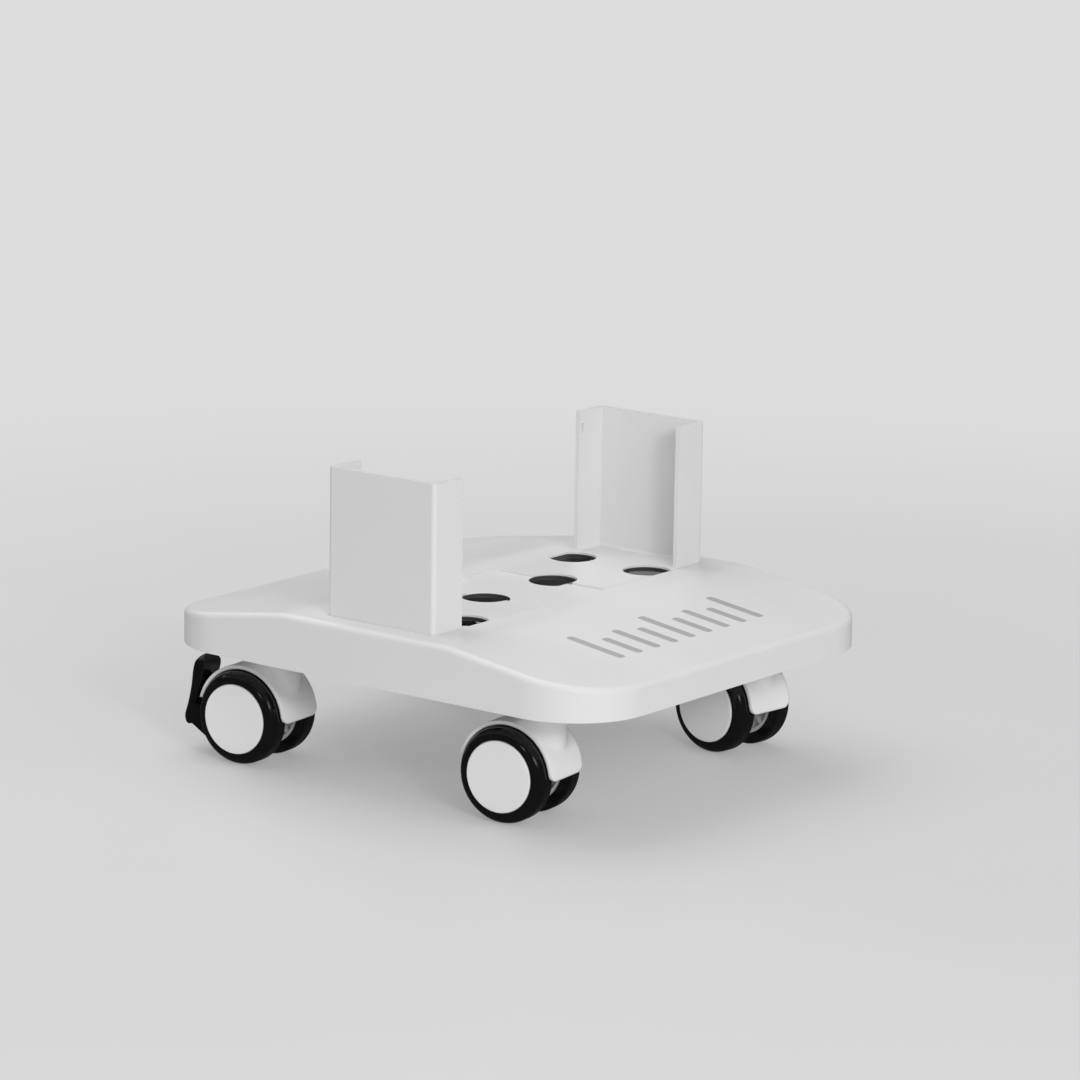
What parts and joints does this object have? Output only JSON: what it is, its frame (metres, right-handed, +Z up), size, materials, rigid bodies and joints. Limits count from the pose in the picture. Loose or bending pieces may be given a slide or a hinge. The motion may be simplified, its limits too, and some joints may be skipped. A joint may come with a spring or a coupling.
{
  "type": "computer tower trolley",
  "caption": "Low wheeled stand with a humped board, twin-wheel swivel casters and two facing channel brackets that slide to hold a computer tower.",
  "frame": {"origin": "on the floor under the middle of the board", "axes": "+Z up, +Y towards the back (braked) casters, +X from the left bracket to the right bracket"},
  "size_m": [0.26, 0.2904, 0.17],
  "materials": {
    "board_plastic": "fine moulded satin white",
    "bracket_plastic": "smooth moulded white",
    "hood_plastic": "glossy moulded white",
    "cap_plastic": "semi-gloss white",
    "tyre_black": "polished black polyurethane",
    "core_nylon": "grey nylon",
    "lever_plastic": "glossy black",
    "knob_plastic": "fine textured black",
    "socket_nylon": "natural nylon",
    "plated_steel": "zinc plated",
    "spring_steel": "dark spring steel",
    "insert_brass": "plain brass"
  },
  "bodies": {
    "board": {"base_board": "board_plastic", "caster_sockets": "socket_nylon", "stem_grip_rings": "plated_steel", "stem_retaining_clips": "spring_steel", "stem_front_left": "plated_steel", "stem_front_right": "plated_steel", "stem_back_left": "plated_steel", "stem_back_right": "plated_steel"},
    "left_bracket": {"left_bracket": "bracket_plastic", "left_threaded_insert": "insert_brass", "left_clamp_washer": "plated_steel"},
    "left_knob": {"left_clamp_knob": "knob_plastic", "left_clamp_screw": "plated_steel"},
    "right_bracket": {"right_bracket": "bracket_plastic", "right_threaded_insert": "insert_brass", "right_clamp_washer": "plated_steel"},
    "right_knob": {"right_clamp_knob": "knob_plastic", "right_clamp_screw": "plated_steel"},
    "caster_front_left": {"hood_front_left": "hood_plastic", "axle_front_left": "plated_steel", "axle_clips_front_left": "spring_steel"},
    "wheel_front_left_left": {"tyre_front_left_left": "tyre_black", "wheel_core_front_left_left": "core_nylon", "wheel_cap_front_left_left": "cap_plastic"},
    "wheel_front_left_right": {"tyre_front_left_right": "tyre_black", "wheel_core_front_left_right": "core_nylon", "wheel_cap_front_left_right": "cap_plastic"},
    "caster_front_right": {"hood_front_right": "hood_plastic", "axle_front_right": "plated_steel", "axle_clips_front_right": "spring_steel"},
    "wheel_front_right_left": {"tyre_front_right_left": "tyre_black", "wheel_core_front_right_left": "core_nylon", "wheel_cap_front_right_left": "cap_plastic"},
    "wheel_front_right_right": {"tyre_front_right_right": "tyre_black", "wheel_core_front_right_right": "core_nylon", "wheel_cap_front_right_right": "cap_plastic"},
    "caster_back_left": {"hood_back_left": "hood_plastic", "axle_back_left": "plated_steel", "axle_clips_back_left": "spring_steel", "brake_pin_back_left": "plated_steel"},
    "wheel_back_left_left": {"tyre_back_left_left": "tyre_black", "wheel_core_back_left_left": "core_nylon", "wheel_cap_back_left_left": "cap_plastic"},
    "wheel_back_left_right": {"tyre_back_left_right": "tyre_black", "wheel_core_back_left_right": "core_nylon", "wheel_cap_back_left_right": "cap_plastic"},
    "brake_lever_back_left": {"brake_lever_back_left": "lever_plastic"},
    "caster_back_right": {"hood_back_right": "hood_plastic", "axle_back_right": "plated_steel", "axle_clips_back_right": "spring_steel", "brake_pin_back_right": "plated_steel"},
    "wheel_back_right_left": {"tyre_back_right_left": "tyre_black", "wheel_core_back_right_left": "core_nylon", "wheel_cap_back_right_left": "cap_plastic"},
    "wheel_back_right_right": {"tyre_back_right_right": "tyre_black", "wheel_core_back_right_right": "core_nylon", "wheel_cap_back_right_right": "cap_plastic"},
    "brake_lever_back_right": {"brake_lever_back_right": "lever_plastic"}
  },
  "joints": [
    {"name": "left_bracket_slide", "type": "slide", "parent": "board", "child": "left_bracket", "axis": [1, 0, 0], "range_m": [0, 0.026]},
    {"name": "left_knob_turn", "type": "hinge", "parent": "left_bracket", "child": "left_knob", "pos_m": [-0.082, 0, 0.077], "axis": [0, 0, -1], "range_deg": [0, 360]},
    {"name": "right_bracket_slide", "type": "slide", "parent": "board", "child": "right_bracket", "axis": [-1, 0, 0], "range_m": [0, 0.026]},
    {"name": "right_knob_turn", "type": "hinge", "parent": "right_bracket", "child": "right_knob", "pos_m": [0.082, 0, 0.077], "axis": [0, 0, -1], "range_deg": [0, 360]},
    {"name": "swivel_front_left", "type": "hinge", "parent": "board", "child": "caster_front_left", "pos_m": [-0.091, -0.0884, 0.054], "axis": [0, 0, 1], "continuous": true},
    {"name": "spin_front_left_left", "type": "hinge", "parent": "caster_front_left", "child": "wheel_front_left_left", "pos_m": [-0.09264, -0.07399, 0.025], "axis": [0.9936, 0.1132, 0], "continuous": true},
    {"name": "spin_front_left_right", "type": "hinge", "parent": "caster_front_left", "child": "wheel_front_left_right", "pos_m": [-0.09264, -0.07399, 0.025], "axis": [0.9936, 0.1132, 0], "continuous": true},
    {"name": "swivel_front_right", "type": "hinge", "parent": "board", "child": "caster_front_right", "pos_m": [0.091, -0.0884, 0.054], "axis": [0, 0, 1], "continuous": true},
    {"name": "spin_front_right_left", "type": "hinge", "parent": "caster_front_right", "child": "wheel_front_right_left", "pos_m": [0.09264, -0.07399, 0.025], "axis": [0.9936, -0.1132, 0], "continuous": true},
    {"name": "spin_front_right_right", "type": "hinge", "parent": "caster_front_right", "child": "wheel_front_right_right", "pos_m": [0.09264, -0.07399, 0.025], "axis": [0.9936, -0.1132, 0], "continuous": true},
    {"name": "swivel_back_left", "type": "hinge", "parent": "board", "child": "caster_back_left", "pos_m": [-0.091, 0.0884, 0.054], "axis": [0, 0, 1], "continuous": true},
    {"name": "spin_back_left_left", "type": "hinge", "parent": "caster_back_left", "child": "wheel_back_left_left", "pos_m": [-0.09239, 0.10283, 0.025], "axis": [0.9954, 0.0958, 0], "continuous": true},
    {"name": "spin_back_left_right", "type": "hinge", "parent": "caster_back_left", "child": "wheel_back_left_right", "pos_m": [-0.09239, 0.10283, 0.025], "axis": [0.9954, 0.0958, 0], "continuous": true},
    {"name": "brake_back_left", "type": "hinge", "parent": "caster_back_left", "child": "brake_lever_back_left", "pos_m": [-0.09402, 0.11976, 0.039], "axis": [-0.9954, -0.0958, 0], "range_deg": [0, 6]},
    {"name": "swivel_back_right", "type": "hinge", "parent": "board", "child": "caster_back_right", "pos_m": [0.091, 0.0884, 0.054], "axis": [0, 0, 1], "continuous": true},
    {"name": "spin_back_right_left", "type": "hinge", "parent": "caster_back_right", "child": "wheel_back_right_left", "pos_m": [0.09239, 0.10283, 0.025], "axis": [0.9954, -0.0958, 0], "continuous": true},
    {"name": "spin_back_right_right", "type": "hinge", "parent": "caster_back_right", "child": "wheel_back_right_right", "pos_m": [0.09239, 0.10283, 0.025], "axis": [0.9954, -0.0958, 0], "continuous": true},
    {"name": "brake_back_right", "type": "hinge", "parent": "caster_back_right", "child": "brake_lever_back_right", "pos_m": [0.09402, 0.11976, 0.039], "axis": [-0.9954, 0.0958, 0], "range_deg": [0, 6]}
  ]
}
